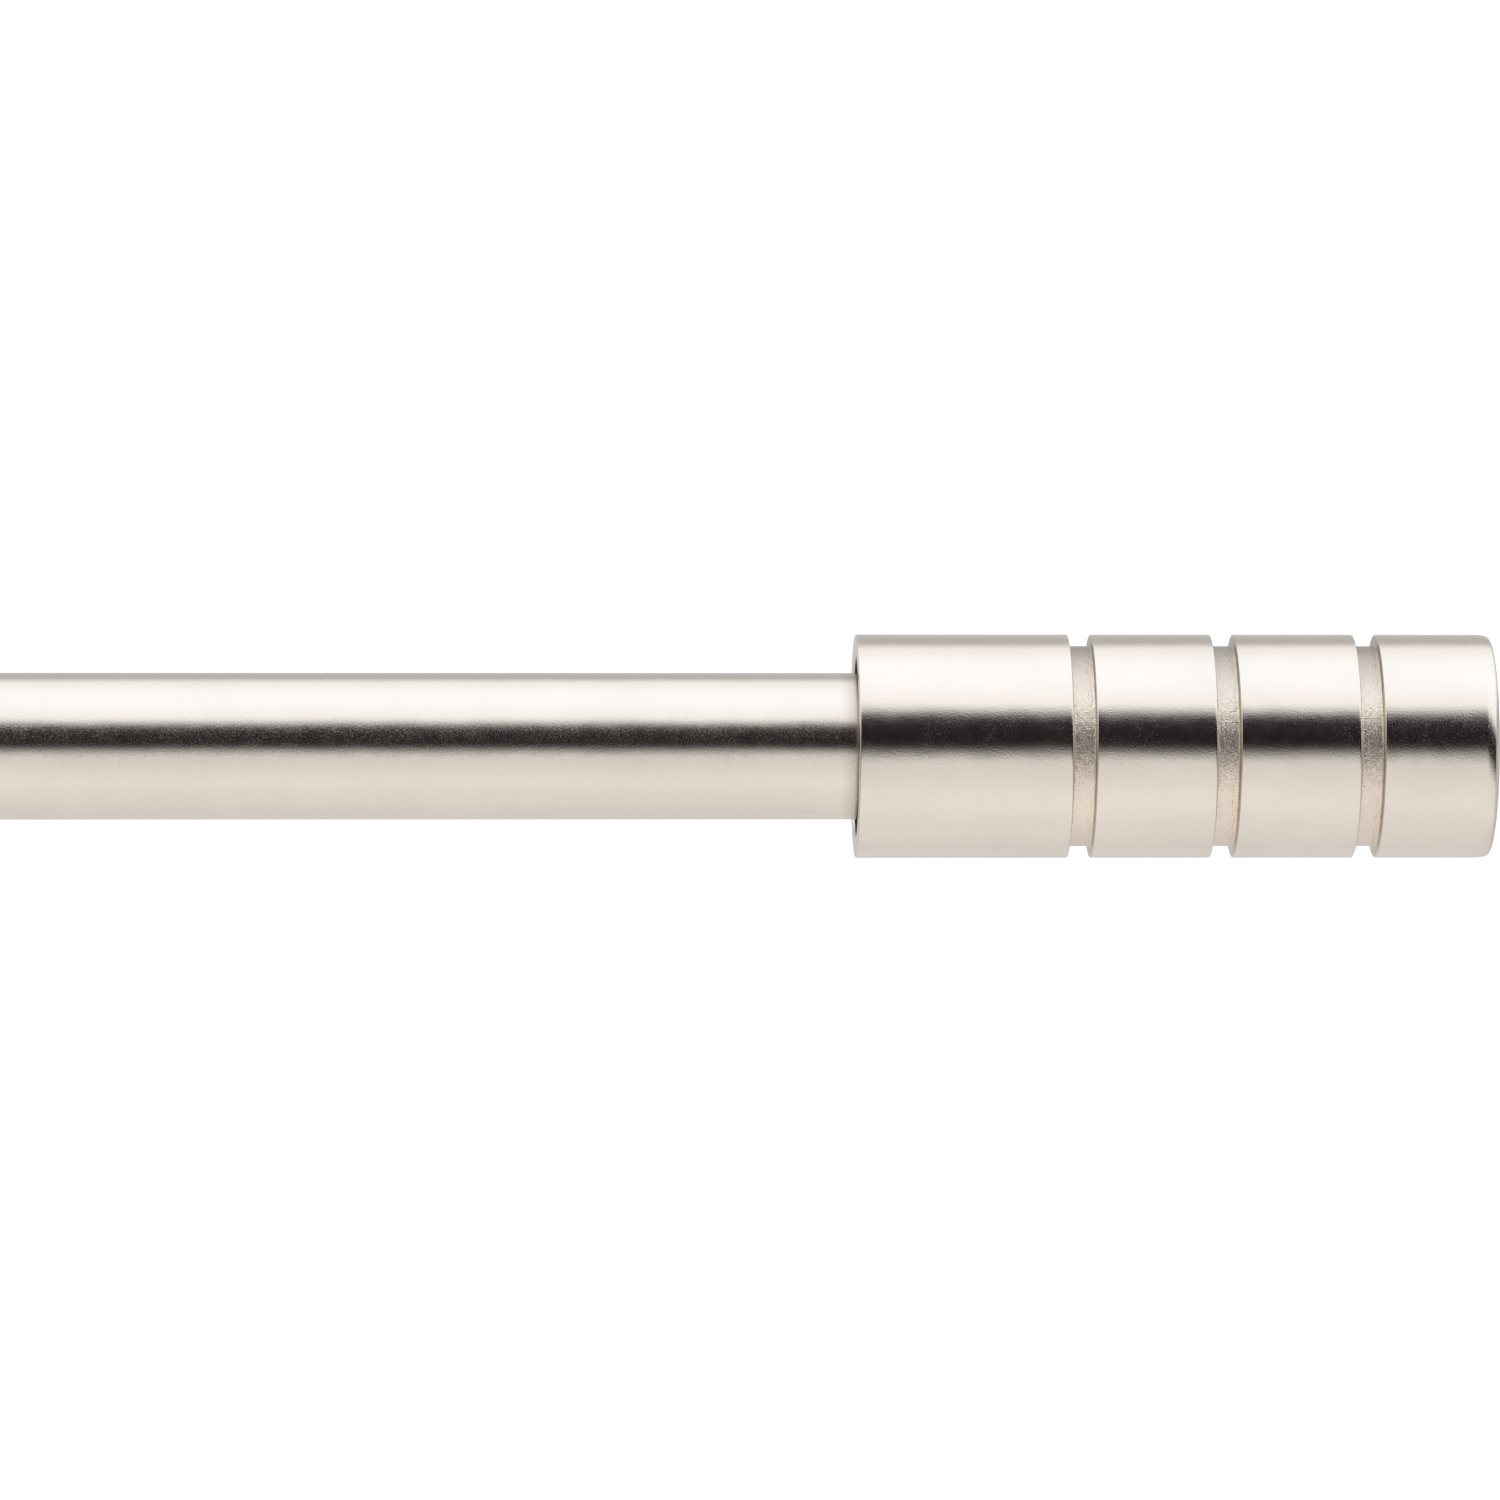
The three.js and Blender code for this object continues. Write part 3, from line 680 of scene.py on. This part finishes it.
def tube_guide():
    """The nylon stop in the thin tube's buried end, with three rings round its flange."""
    low, high = corners_of("inner_tube_guide")
    flange = radius_of("inner_tube_guide")
    spigot = INNER_RADIUS - TUBE_WALL - 0.3
    floor = flange - 0.6
    ring, pitch = 1.2, 2
    shoulder = 5.7
    length = high.x - low.x
    corners = [(0, NYLON_BORE, 0.2)]
    for start in (0, pitch):
        corners += [(start, flange, 0.2), (start + ring, flange, 0.2)]
        corners += [(start + ring, floor, 0.1), (start + pitch, floor, 0.1)]
    corners += [(2 * pitch, flange, 0.2), (shoulder, flange, 0.2), (shoulder, spigot, 0.1)]
    corners += [(length, spigot, 0.4), (length, NYLON_BORE, 0.2)]
    guide = turned("inner_tube_guide_detail", rounded(corners, True), rod_matrix(low.x))
    return stands_for(guide, "inner_tube_guide")


# ---- the finials -------------------------------------------------------------------------------


def finial_matrix(side):
    """The matrix of the finial's own X axis, which runs from its mouth to its closed end."""
    low, high = corners_of(f"{side}_finial_cap")
    return rod_matrix(low.x) if side == "right" else rod_matrix(high.x, -1)


def finial_cap(side):
    """The grooved cylinder, with a blind bore and a boss at its end for the screw."""
    node = f"{side}_finial_cap"
    low, high = corners_of(node)
    length = high.x - low.x
    radius = radius_of(node)
    floor = radius - GROOVE_DEPTH
    bore_end = length - 3.3
    hole_end = bore_end - 3
    boss_top, boss = 51.0, 4.5
    corners = [(0, FINIAL_BORE, 0.2), (0, radius, 0.15)]
    for centre in GROOVE_CENTRES:
        start, end = centre - GROOVE_WIDTH / 2, centre + GROOVE_WIDTH / 2
        corners += [(start, radius, 0.14), (start, floor, 0.25), (end, floor, 0.25), (end, radius, 0.14)]
    corners += [
        (length - 1.2, radius),
        (length - 0.3, radius - 0.12, 0.6),
        (length, radius - 0.4, 0.2),
        (length, 0),
        (hole_end, 0),
        (hole_end, HOLE_RADIUS),
        (boss_top, HOLE_RADIUS, 0.3),
        (boss_top, boss, 0.3),
        (bore_end, boss, 0.5),
        (bore_end, FINIAL_BORE, 0.5),
    ]
    end = corners.index((length, 0)) + 1
    from_axis = corners[end:] + corners[:end]
    cap = turned(f"{node}_detail", refined(rounded(from_axis), 6), finial_matrix(side))
    stands_for(cap, node)
    finish_and_shade_inside(cap, side, radius, length)
    return cap


def finish_and_shade_inside(cap, side, radius, length):
    """Gives the grooves the blasted finish, and gives the bore a rough finish painted dark as shade."""
    groove_finish, bore_shade_slot = 1, 2
    cap.data.materials.append(blasted_nickel)
    cap.data.materials.append(painted_bore_shade)
    back = finial_matrix(side).inverted()
    floor = radius - GROOVE_DEPTH
    for face in cap.data.polygons:
        place = back @ (face.center / MM)
        reach = math.hypot(place.y, place.z)
        in_groove = any(abs(place.x - centre) < GROOVE_WIDTH / 2 + 0.05 for centre in GROOVE_CENTRES)
        if in_groove and floor - 0.2 < reach < radius - 0.15:
            face.material_index = groove_finish
        elif 0.2 < place.x < length - 1 and reach < FINIAL_BORE + 0.05:
            face.material_index = bore_shade_slot


def finial_insert(side):
    """The nylon insert, with a ring of fins round its spigot to grip the tube."""
    node = f"{side}_finial_insert"
    spigot = TUBE_RADIUS[side] - TUBE_WALL - 0.3
    body = FINIAL_BORE - 0.3
    tip, shoulder, end, web = 2.0, 20.3, 50.7, 3.0
    corners = [
        (tip, NYLON_BORE, 0.2),
        (tip, spigot - 0.6, 0.3),
        (tip + 2, spigot, 1),
        (shoulder, spigot, 0.2),
        (shoulder, body, 0.3),
        (end, body, 0.4),
        (end, HOLE_RADIUS, 0.2),
        (end - web, HOLE_RADIUS, 0.2),
        (end - web, NYLON_BORE, 0.4),
    ]
    fins, fin_height, steepness = 12, 0.55, 2.2

    def ripple(along, radius, angle):
        if radius < NYLON_BORE + 0.1 or along > shoulder - 0.5:
            return radius
        wave = zigzag(angle * fins / (2 * math.pi))
        return radius - fin_height * (1 - min(1, steepness * wave))

    outline = refined(rounded(corners, True), 4)
    insert = turned(f"{node}_detail", outline, finial_matrix(side), fins * 12, ripple)
    return stands_for(insert, node)


def finial_screw(side):
    """The pan-headed screw that holds the insert in the cap."""
    node = f"{side}_finial_screw"
    low, high = corners_of(node)
    matrix = finial_matrix(side)
    mouth = matrix.translation.x
    start, end = sorted((abs(low.x - mouth), abs(high.x - mouth)))
    seat = start + 2.4
    head = 3.8
    corners = [
        (start, 0),
        (start, head, 1.2),
        (seat, head, 0.15),
        (seat, SCREW_RADIUS, 0.1),
        (end - 0.9, SCREW_RADIUS, 0.2),
        (end, TIP_RADIUS),
        (end, 0),
    ]
    recess_reach = 2.1
    return machine_screw(node, rounded(corners), matrix, seat + 0.3, end - 0.2, start, recess_reach)


# ---- the brackets ------------------------------------------------------------------------------


def screw_hole(start, sink, end):
    """A cutter's outline for a clearance hole, with a countersink that starts at sink."""
    sunk = sink + HEAD_HEIGHT
    hole = [(start, 0), (start, HOLE_RADIUS), (sink, HOLE_RADIUS)]
    return hole + [(sunk, SINK_RADIUS), (end, SINK_RADIUS), (end, 0)]


def tapped_hole(start, mouth, end, radius):
    """A cutter's outline for a threaded hole, with a chamfer from its mouth to its end."""
    chamfer = 2.7
    return [(start, 0), (start, radius), (mouth, radius), (end, chamfer), (end, 0)]


def outward(side, up=0.0):
    """The matrix of a bracket's own X axis, which runs from the wall to the room."""
    return axis_at((BRACKET_X[side], 0, up), (0, -1, 0))


def wall_plate(side):
    """The plate on the wall, with a groove round its rim for the grub screw."""
    node = f"{side}_wall_plate"
    low, high = corners_of(node)
    depth = high.y - low.y
    radius = radius_of(node)
    groove = depth / 2
    groove_floor = radius - 1.5
    recess = radius - 3
    floor = 4
    corners = [
        (0, 0),
        (0, radius, 0.4),
        (groove - 2.5, radius, 0.2),
        (groove - 1.6, groove_floor, 0.3),
        (groove + 1.6, groove_floor, 0.3),
        (groove + 2.5, radius, 0.2),
        (depth, radius, 0.6),
        (depth, recess, 0.4),
        (floor, recess, 0.8),
        (floor, 0),
    ]
    plate = turned(f"{node}_detail", rounded(corners), outward(side))
    for up in (HOLE_RISE, -HOLE_RISE):
        drilled(plate, screw_hole(-1, floor - HEAD_HEIGHT, floor + 1), outward(side, up))
    return stands_for(plate, node)


def rose(side):
    """The round cover over the wall plate."""
    node = f"{side}_rose"
    low, high = corners_of(node)
    back, front = -high.y, -low.y
    radius = radius_of(node)
    wall = 3.2
    inner_radius = radius - wall
    inner_front = front - wall
    corners = [
        (back, inner_radius, 0.25),
        (back, radius, 0.35),
        (front, radius, 1.6),
        (front, HOLE_RADIUS, 0.1),
        (inner_front + 2, HOLE_RADIUS),
        (inner_front, SINK_RADIUS, 0.1),
        (inner_front, inner_radius, 0.6),
    ]
    cover = turned(f"{node}_detail", rounded(corners, True), outward(side), 160)
    grub_out = 4
    grub_hole = tapped_hole(inner_radius - 1, radius - 0.35, radius + 0.3, 2.08)
    drilled(cover, grub_hole, axis_at((BRACKET_X[side], -grub_out, 0), (0, 0, -1)))
    return stands_for(cover, node)


def post(side):
    """The straight post, with a foot on the rose and a screw hole in each end."""
    node = f"{side}_post"
    low, high = corners_of(node)
    back, front = -high.y - PART_LINE, -low.y + PART_LINE
    hole_depth = 12 + PART_LINE
    foot, shaft = 8, 6
    corners = [
        (back + hole_depth, 0),
        (back + hole_depth, HOLE_RADIUS),
        (back, HOLE_RADIUS, 0.2),
        (back, foot, 0.2),
        (back + 3.6, foot, 0.9),
        (back + 4.6, shaft, 0.9),
        (front, shaft, 0.2),
        (front, HOLE_RADIUS, 0.2),
        (front - hole_depth, HOLE_RADIUS),
        (front - hole_depth, 0),
    ]
    return stands_for(turned(f"{node}_detail", rounded(corners), outward(side)), node)


def cup(side):
    """The J-shaped cradle, with the thumbscrew's boss in front and the post's screw hole behind."""
    node = f"{side}_cup"
    low, high = corners_of(node)
    place = Vector((BRACKET_X[side], ROD_AXIS.y, ROD_AXIS.z))
    corners = [
        (-CUP_INNER, CUP_BACK_HEIGHT, 0.9),
        (-CUP_OUTER, CUP_BACK_HEIGHT, 1.1),
        (-CUP_OUTER, -CUP_OUTER, CUP_HEEL_ROUND),
        (CUP_OUTER, -CUP_OUTER, CUP_OUTER),
        (CUP_OUTER, CUP_FRONT_HEIGHT, 1.1),
        (CUP_INNER, CUP_FRONT_HEIGHT, 0.9),
        (CUP_INNER, -CUP_INNER, CUP_INNER),
        (-CUP_INNER, -CUP_INNER, CUP_INNER),
    ]
    cradle = extruded(f"{node}_detail", rounded(corners, True), high.x - low.x, place, CUP_EDGE)
    boss_radius = 4.5
    boss_back = PROJECTION + 11.2
    boss_front = PROJECTION + CUP_OUTER + 2.5
    boss = [(boss_back, 0), (boss_back, boss_radius), (boss_front, boss_radius, 0.6), (boss_front, 0)]
    combined(cradle, turned("boss", rounded(boss), outward(side), 96), "UNION")
    inside = PROJECTION + CUP_INNER - 1
    drilled(cradle, tapped_hole(inside, boss_front - 0.4, boss_front + 0.2, 2.1), outward(side))
    back = PROJECTION - CUP_OUTER
    drilled(cradle, screw_hole(back - 1, back + 0.5, back + 4), outward(side))
    return stands_for(cradle, node)


def cup_liner():
    """The nylon liner: an I-section bent round the tube in a U, with a hole for the thumbscrew's pad."""
    low, high = corners_of("right_cup_liner")
    width = high.x - low.x
    inner, wall, flange = INNER_RADIUS + 0.3, 1.4, 1.0
    edge = width / 2
    section = rounded(
        [
            (-edge, 0, 0.2),
            (-edge, 2 * wall, 0.3),
            (-edge + flange, 2 * wall, 0.3),
            (-edge + flange, wall, 0.1),
            (edge - flange, wall, 0.1),
            (edge - flange, 2 * wall, 0.3),
            (edge, 2 * wall, 0.3),
            (edge, 0, 0.2),
        ],
        True,
    )
    path = [(Vector((-inner, CUP_FRONT_HEIGHT)), Vector((-1, 0)))]
    arc_steps = 48
    for i in range(arc_steps + 1):
        angle = math.pi * (1 + i / arc_steps)
        direction = Vector((math.cos(angle), math.sin(angle)))
        path.append((direction * inner, direction))
    path.append((Vector((inner, CUP_FRONT_HEIGHT)), Vector((1, 0))))
    place = Vector((BRACKET_X["right"], ROD_AXIS.y, ROD_AXIS.z))
    vertices = []
    for point, normal in path:
        for x, height in section:
            spot = point + normal * height
            vertices.append(place + Vector((x, -spot.x, spot.y)))
    liner = make_object("right_cup_liner_detail", vertices, tube_faces(len(path), len(section)))
    start, end = PROJECTION + inner - 2, PROJECTION + inner + 4
    drilled(liner, [(start, 0), (start, HOLE_RADIUS), (end, HOLE_RADIUS), (end, 0)], outward("right"))
    return stands_for(liner, "right_cup_liner")


def thumbscrew(side):
    """A knurled knob on a threaded shank, hollow at its tip for the pad's stem."""
    node = f"{side}_thumbscrew"
    low, high = corners_of(node)
    tip, end = -high.y, -low.y
    neck = end - 6.5
    knob = radius_of(node)
    collar = 3.4
    socket, socket_depth = 1.1, 2.3
    dish = 0.5
    corners = [
        (tip + socket_depth, 0),
        (tip + socket_depth, socket),
        (tip, socket, 0.1),
        (tip, SCREW_RADIUS, 0.25),
        (neck - 0.6, SCREW_RADIUS, 0.2),
        (neck - 0.6, collar, 0.2),
        (neck, collar),
        (neck, knob, 0.5),
        (end, knob, 0.6),
        (end, knob - 1.5, 0.3),
        (end - dish, knob - 2.1, 0.4),
        (end - dish, 0),
    ]
    teeth, tooth_height = 40, 0.3
    cut_thread = metric_thread(tip + 0.2, neck - 0.8)

    def ripple(along, radius, angle):
        if radius < knob - 0.4:
            return cut_thread(along, radius, angle)
        if neck + 1 < along < end - 1.2:
            return radius - tooth_height * (1 - zigzag(angle * teeth / (2 * math.pi)))
        return radius - 0.1

    outline = refined(rounded(corners), THREAD_STEP)
    screw = turned(f"{node}_detail", outline, outward(side), teeth * 6, ripple)
    return stands_for(screw, node)


def thumbscrew_pad(side):
    """The nylon disc that presses on the tube, with a stem that turns in the thumbscrew's tip."""
    node = f"{side}_thumbscrew_pad"
    low, high = corners_of(node)
    face, end = -high.y, -low.y
    back = face + 1.5
    disc, stem = 1.7, 0.8
    corners = [
        (face, 0),
        (face, disc, 0.3),
        (back, disc, 0.2),
        (back, stem, 0.1),
        (end, stem, 0.3),
        (end, 0),
    ]
    pad = turned(f"{node}_detail", rounded(corners), outward(side), SMALL_TURN_STEPS)
    return stands_for(pad, node)


# ---- stage, light and camera -------------------------------------------------------------------


def stage_floor():
    """A plain pale floor, well below the rod. The metal mirrors the studio's light in its place."""
    half, drop = 12000, 350
    glow = 0.2
    corners = [(-half, -half, -drop), (half, -half, -drop), (half, half, -drop), (-half, half, -drop)]
    floor = make_object("floor", corners, [(0, 1, 2, 3)])
    floor.visible_glossy = False
    material = bpy.data.materials.new("floor")
    material.use_nodes = True
    shader = material.node_tree.nodes["Principled BSDF"]
    shader.inputs["Base Color"].default_value = (0.9, 0.89, 0.88, 1)
    shader.inputs["Roughness"].default_value = 0.9
    shader.inputs["Emission Color"].default_value = (1, 1, 1, 1)
    shader.inputs["Emission Strength"].default_value = glow
    floor.data.materials.append(material)


SKY = (0.97, 1.03, 1.1)
HAZE = (0.98, 1.01, 1.045)
GROUND = (1.0, 1.0, 0.99)
GLOOM = (1.1, 0.92, 1.0)
BRIGHTEST = 1.5  # a colour ramp holds no more than 1

# Brightness by elevation in degrees, on the camera's side of the rod and on the wall's side.
FRONT_LIGHT = (
    (-90, 0.98, GROUND),
    (-58, 1.07, GROUND),
    (-17, 0.93, GROUND),
    (2, 0.014, GLOOM),
    (28, 0.014, GLOOM),
    (46, 1.29, HAZE),
    (75, 1.37, SKY),
)

BACK_LIGHT = (
    (-90, 0.98, GROUND),
    (-40, 0.85, GROUND),
    (0, 0.66, GROUND),
    (44, 0.57, GROUND),
    (63, 1.22, HAZE),
    (90, 1.37, SKY),
)


def light_by_height(tree, height, stops):
    """A colour that follows the elevation, which height gives from 0 straight down to 1 straight up."""
    made = add_node(tree, "ShaderNodeValToRGB", {"Fac": height})
    ramp = made.color_ramp
    ramp.interpolation = "EASE"
    while len(ramp.elements) < len(stops):
        ramp.elements.new(1)
    for element, (elevation, brightness, tint) in zip(ramp.elements, stops):
        element.position = (elevation + 90) / 180
        element.color = (*scaled(tint, brightness / BRIGHTEST), 1)
    return made.outputs["Color"]


SIDE_DROP = 0.45  # radians by which all the light lies lower at the sides
DROP_RATE = 2.0  # how soon it drops, against the square of the direction's X
FRONT_EDGE, BACK_EDGE = -0.2, 0.25  # of the direction's Y, where the front's light gives way to the back's
SIDE_START, SIDE_END = 0.2, 0.5  # the same, of the square of its X
BACKDROP = 1.1  # the white that the camera sees behind everything


def studio_light():
    """A soft studio: a wide light overhead, a bright floor, a dark room in front and grey walls elsewhere."""
    world = bpy.data.worlds.new("studio")
    bpy.context.scene.world = world
    world.use_nodes = True
    tree = world.node_tree
    tree.nodes.clear()
    place = tree.nodes.new("ShaderNodeTexCoord")
    direction = add_node(tree, "ShaderNodeSeparateXYZ", {"Vector": place.outputs["Generated"]})
    elevation = calculate(tree, "ARCSINE", direction.outputs["Z"])
    aside = calculate(tree, "POWER", calculate(tree, "ABSOLUTE", direction.outputs["X"]), 2.0)
    lowered = calculate(tree, "MINIMUM", calculate(tree, "MULTIPLY", aside, DROP_RATE), SIDE_DROP)
    height = between(tree, calculate(tree, "ADD", elevation, lowered), 0, 1, -math.pi / 2, math.pi / 2)
    behind = between(tree, direction.outputs["Y"], 0, 1, FRONT_EDGE, BACK_EDGE, "SMOOTHSTEP")
    beside = between(tree, aside, 0, 1, SIDE_START, SIDE_END, "SMOOTHSTEP")
    not_ahead = calculate(tree, "MAXIMUM", behind, beside)
    front = light_by_height(tree, height, FRONT_LIGHT)
    back = light_by_height(tree, height, BACK_LIGHT)
    light = mixed(tree, not_ahead, front, back)
    lit = add_node(tree, "ShaderNodeBackground", {"Color": light, "Strength": BRIGHTEST})
    white = add_node(tree, "ShaderNodeBackground", {"Color": (1, 1, 1, 1), "Strength": BACKDROP})
    seen_by_camera = tree.nodes.new("ShaderNodeLightPath").outputs["Is Camera Ray"]
    inputs = {0: seen_by_camera, 1: lit.outputs[0], 2: white.outputs[0]}
    seen = add_node(tree, "ShaderNodeMixShader", inputs)
    add_node(tree, "ShaderNodeOutputWorld", {"Surface": seen.outputs[0]})
    bpy.context.scene.view_settings.view_transform = "Standard"


DISTANCE = 960
YAW = math.radians(1.9)
AIM_ALONG = 11.48  # how far to the left of the finial's mouth the camera looks
AIM_BELOW = 0.42  # and how far below the rod's axis


def camera():
    """A long lens, level with the rod and aimed near the right finial's mouth."""
    target = Vector((MOUTH_X["right"] - AIM_ALONG, ROD_AXIS.y, ROD_AXIS.z - AIM_BELOW))
    ahead = Vector((math.sin(YAW), math.cos(YAW), 0))
    data = bpy.data.cameras.new("camera")
    data.lens = 211
    data.sensor_width = 36
    data.clip_start = 0.01
    data.clip_end = 100
    made = bpy.data.objects.new("camera", data)
    made.location = (target - ahead * DISTANCE) * MM
    made.rotation_mode = "QUATERNION"
    made.rotation_quaternion = ahead.to_track_quat("-Z", "Y")
    bpy.context.scene.collection.objects.link(made)
    bpy.context.scene.camera = made


# ---- making everything -------------------------------------------------------------------------

camera()
studio_light()
stage_floor()
outer_tube()
inner_tube()
tube_guide()
cup_liner()
for side in SIDES:
    finial_cap(side)
    finial_insert(side)
    finial_screw(side)
    wall_plate(side)
    rose(side)
    post(side)
    cup(side)
    thumbscrew(side)
    thumbscrew_pad(side)
    grub_screw(f"{side}_grub_screw")
    countersunk_screw(f"{side}_rose_screw", -1)
    countersunk_screw(f"{side}_cup_screw", 1)
    for level in ("upper", "lower"):
        wall_screw(f"{side}_{level}_wall_screw")
        wall_plug(f"{side}_{level}_wall_plug")
